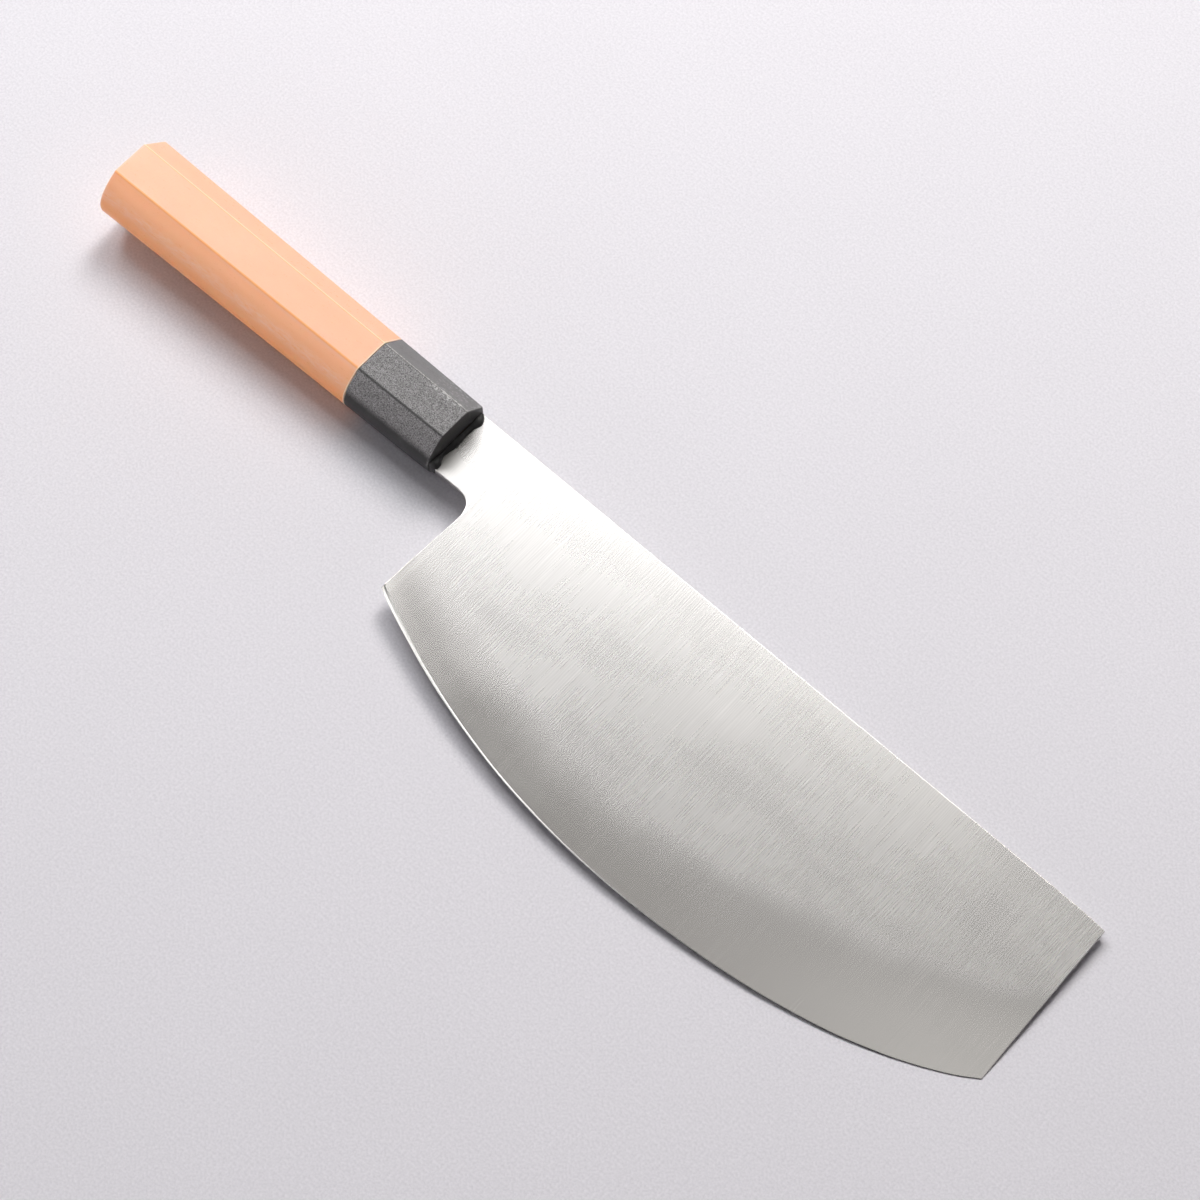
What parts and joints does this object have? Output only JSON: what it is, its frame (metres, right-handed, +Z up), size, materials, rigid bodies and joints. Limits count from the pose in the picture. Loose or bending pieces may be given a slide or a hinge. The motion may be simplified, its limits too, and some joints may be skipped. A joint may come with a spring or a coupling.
{
  "type": "sushi knife",
  "caption": "Round-bellied steel sushi-cutting knife: tall straight-spined blade with a square tip end, dark ferrule and peach moulded octagonal handle, lying on its side.",
  "frame": {"origin": "middle of the footprint, on the table that the knife lies on", "axes": "+X from the butt of the handle to the blade's tip, +Y from the cutting edge to the spine, +Z up from the table through the blade's side"},
  "size_m": [0.3792, 0.0878, 0.0271],
  "materials": {
    "blade_steel": "satin, fine straight grind lines running from spine to edge, polished micro-bevel",
    "ferrule_resin": "matte charcoal moulding with a fine speckled grain",
    "grip_resin": "smooth matte peach moulding with a soft sheen",
    "bed_resin": "cured amber adhesive, hidden inside the handle",
    "seal_resin": "cured black sealant bead, satin"
  },
  "bodies": {
    "root": {"blade": "blade_steel", "ferrule": "ferrule_resin", "handle_grip": "grip_resin", "tang_bed": "bed_resin", "neck_seal": "seal_resin"}
  },
  "joints": []
}
